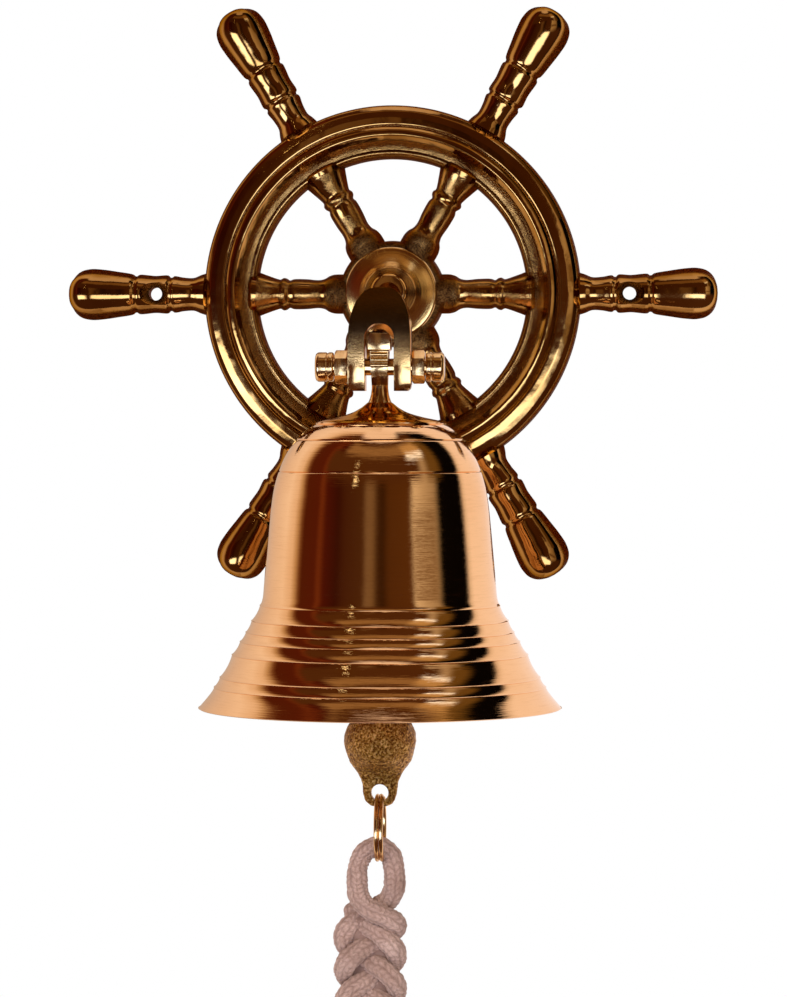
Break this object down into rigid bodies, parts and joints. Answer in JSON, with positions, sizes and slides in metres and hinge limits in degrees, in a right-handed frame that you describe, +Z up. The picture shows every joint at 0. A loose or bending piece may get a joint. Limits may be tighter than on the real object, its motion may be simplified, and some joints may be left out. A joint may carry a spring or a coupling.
{
  "type": "ship bell",
  "caption": "Brass bell hung from a forked arm on a ship's-wheel wall bracket, with a loose clapper and a knotted rope lanyard.",
  "frame": {"origin": "centre of the wheel's flat back, on the wall plane", "axes": "+Z up, +Y into the wall, -Y the way the bell stands out, +X to the right as seen from the front"},
  "size_m": [0.204, 0.122, 0.3983],
  "materials": {
    "cast_brass": "polished casting, antique gold",
    "bell_brass": "mirror polished, turned",
    "rough_brass": "as cast, sand texture",
    "fittings": "turned brass fittings",
    "rope": "braided cotton cord, mauve beige"
  },
  "bodies": {
    "wheel": {"wheel": "cast_brass", "bracket_arm": "cast_brass", "bracket_screw_left": "fittings", "bracket_screw_right": "fittings", "pivot_stud": "fittings", "hex_nut_left": "fittings", "hex_nut_right": "fittings", "cap_nut_left": "fittings", "cap_nut_right": "fittings"},
    "bell": {"bell_shell": "bell_brass", "hanger_stem": "cast_brass", "crown_washer": "fittings", "crown_nut": "fittings", "clapper_eye": "fittings"},
    "clapper_link": {"clapper_link": "fittings"},
    "clapper": {"clapper": "rough_brass"},
    "split_ring": {"split_ring": "fittings"},
    "lanyard": {"lanyard_loop": "rope", "lanyard_sinnet": "rope", "lanyard_knot": "rope"}
  },
  "joints": [
    {"name": "bell_swing", "type": "hinge", "parent": "wheel", "child": "bell", "pos_m": [0, -0.068, -0.0239], "axis": [1, 0, 0], "range_deg": [-45, 8]},
    {"name": "link_swing", "type": "hinge", "parent": "bell", "child": "clapper_link", "pos_m": [0, -0.068, -0.06145], "axis": [0, 1, 0], "range_deg": [-28, 28]},
    {"name": "clapper_rock", "type": "hinge", "parent": "clapper_link", "child": "clapper", "pos_m": [0, -0.068, -0.0683], "axis": [1, 0, 0], "range_deg": [-12, 12]},
    {"name": "ring_swing", "type": "hinge", "parent": "clapper", "child": "split_ring", "pos_m": [0, -0.068, -0.1515], "axis": [0, 1, 0], "range_deg": [-35, 35]},
    {"name": "lanyard_swing", "type": "hinge", "parent": "split_ring", "child": "lanyard", "pos_m": [0, -0.068, -0.1609], "axis": [1, 0, 0], "range_deg": [-40, 40]}
  ]
}
